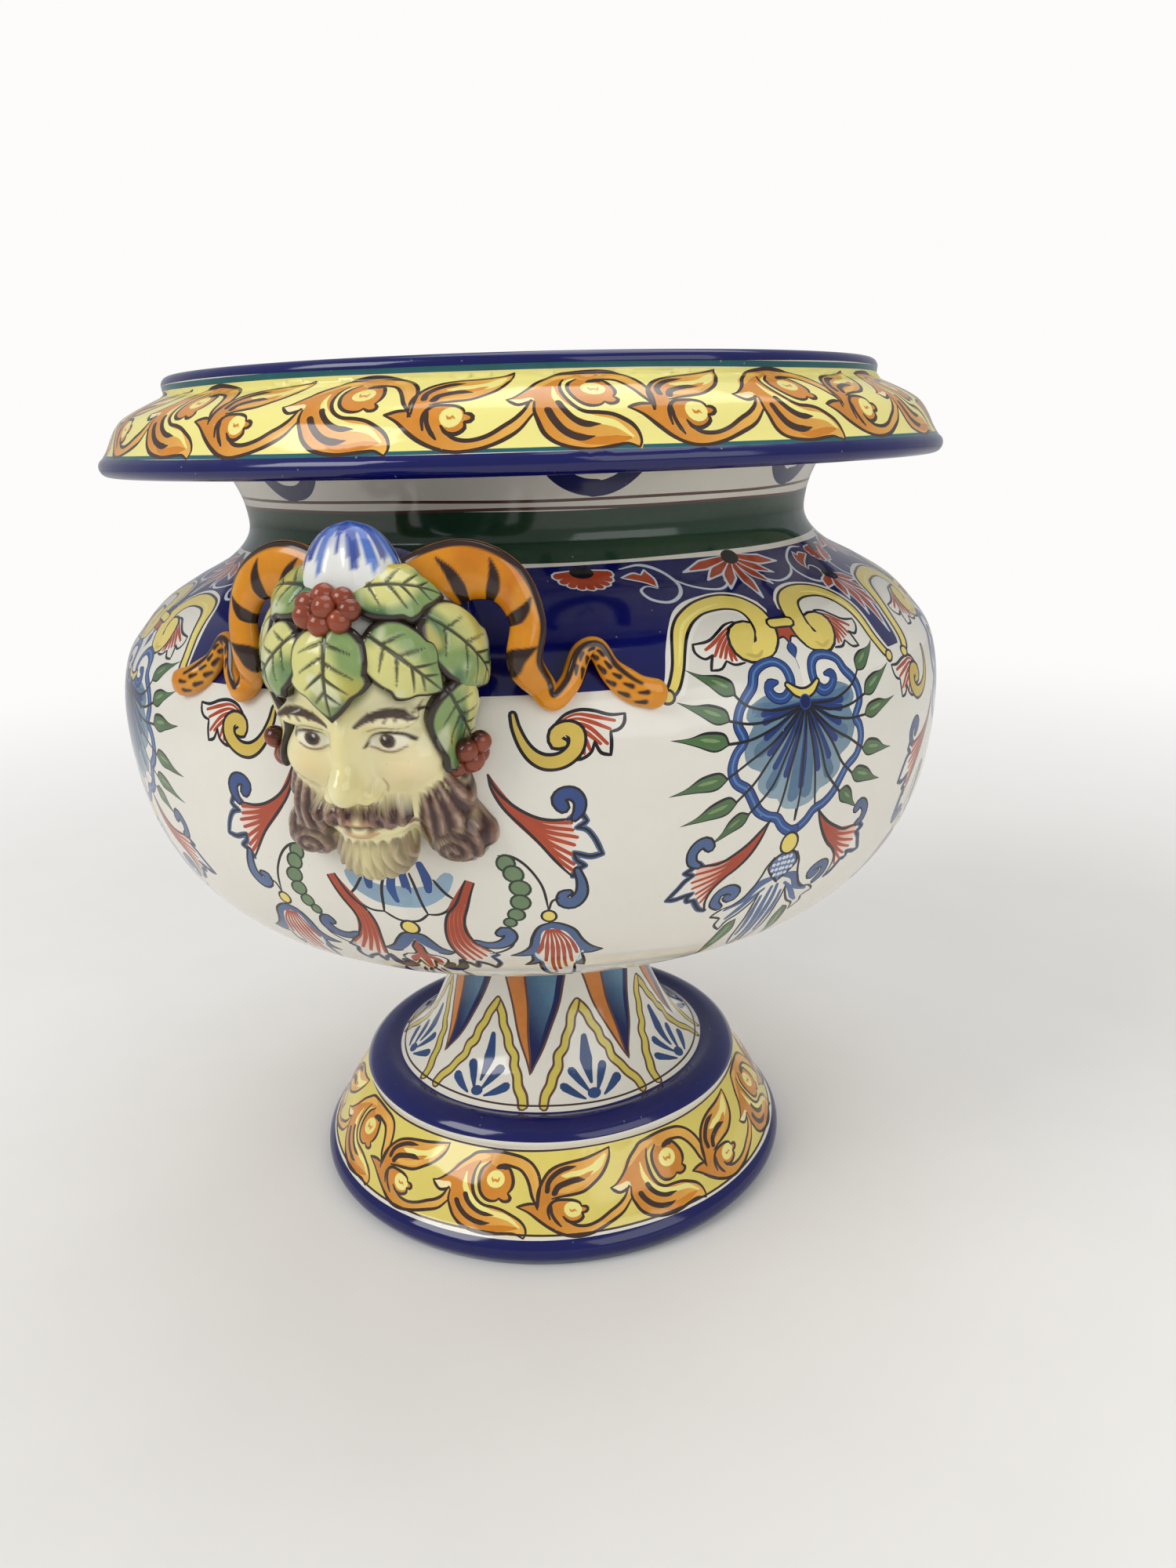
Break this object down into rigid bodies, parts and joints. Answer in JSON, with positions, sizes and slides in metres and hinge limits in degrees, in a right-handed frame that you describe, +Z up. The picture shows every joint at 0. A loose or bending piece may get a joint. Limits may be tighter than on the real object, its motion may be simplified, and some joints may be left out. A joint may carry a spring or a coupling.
{
  "type": "campana vase",
  "caption": "Footed campana vase of glazed faience with an overhanging collar, a round bowl on a flaring foot, bearded relief masks with vine wreaths, and looping serpents.",
  "frame": {"origin": "centre of the ring that the foot rests on", "axes": "+Z up along the axis of the bowl and foot, -Y out through the front mask, +X to the right of that mask as a viewer faces it"},
  "size_m": [0.39, 0.4708, 0.404],
  "materials": {
    "bowl_glaze": "glossy white tin glaze, painted in cobalt, yellow, orange, red and green",
    "foot_glaze": "glossy tin glaze, painted in cobalt, yellow and orange",
    "face_glaze": "glossy cream-yellow glaze, beard washed in manganese brown",
    "knot_glaze": "glossy white glaze with blue brush strokes",
    "leaf_glaze": "glossy green and yellow glaze with dark veins",
    "grape_glaze": "glossy red-brown glaze",
    "serpent_glaze": "glossy orange glaze with near-black marks",
    "steel": "zinc-plated steel, dull",
    "rubber": "matt dark rubber"
  },
  "bodies": {
    "root": {"bowl": "bowl_glaze", "foot": "foot_glaze", "joint_gasket": "rubber", "upper_cushion": "rubber", "lower_cushion": "rubber", "upper_washer": "steel", "lower_washer": "steel", "tie_bolt": "steel", "tie_nut": "steel", "front_head": "face_glaze", "front_knot": "knot_glaze", "front_forehead_leaf": "leaf_glaze", "front_upper_leaf_right": "leaf_glaze", "front_upper_leaf_left": "leaf_glaze", "front_brow_leaf_right": "leaf_glaze", "front_brow_leaf_left": "leaf_glaze", "front_side_leaf_right": "leaf_glaze", "front_side_leaf_left": "leaf_glaze", "front_temple_leaf_right": "leaf_glaze", "front_temple_leaf_left": "leaf_glaze", "front_grapes_centre": "grape_glaze", "front_grapes_right": "grape_glaze", "front_grapes_left": "grape_glaze", "front_serpent_right": "serpent_glaze", "front_serpent_left": "serpent_glaze", "back_head": "face_glaze", "back_knot": "knot_glaze", "back_forehead_leaf": "leaf_glaze", "back_upper_leaf_right": "leaf_glaze", "back_upper_leaf_left": "leaf_glaze", "back_brow_leaf_right": "leaf_glaze", "back_brow_leaf_left": "leaf_glaze", "back_side_leaf_right": "leaf_glaze", "back_side_leaf_left": "leaf_glaze", "back_temple_leaf_right": "leaf_glaze", "back_temple_leaf_left": "leaf_glaze", "back_grapes_centre": "grape_glaze", "back_grapes_right": "grape_glaze", "back_grapes_left": "grape_glaze", "back_serpent_right": "serpent_glaze", "back_serpent_left": "serpent_glaze"}
  },
  "joints": []
}
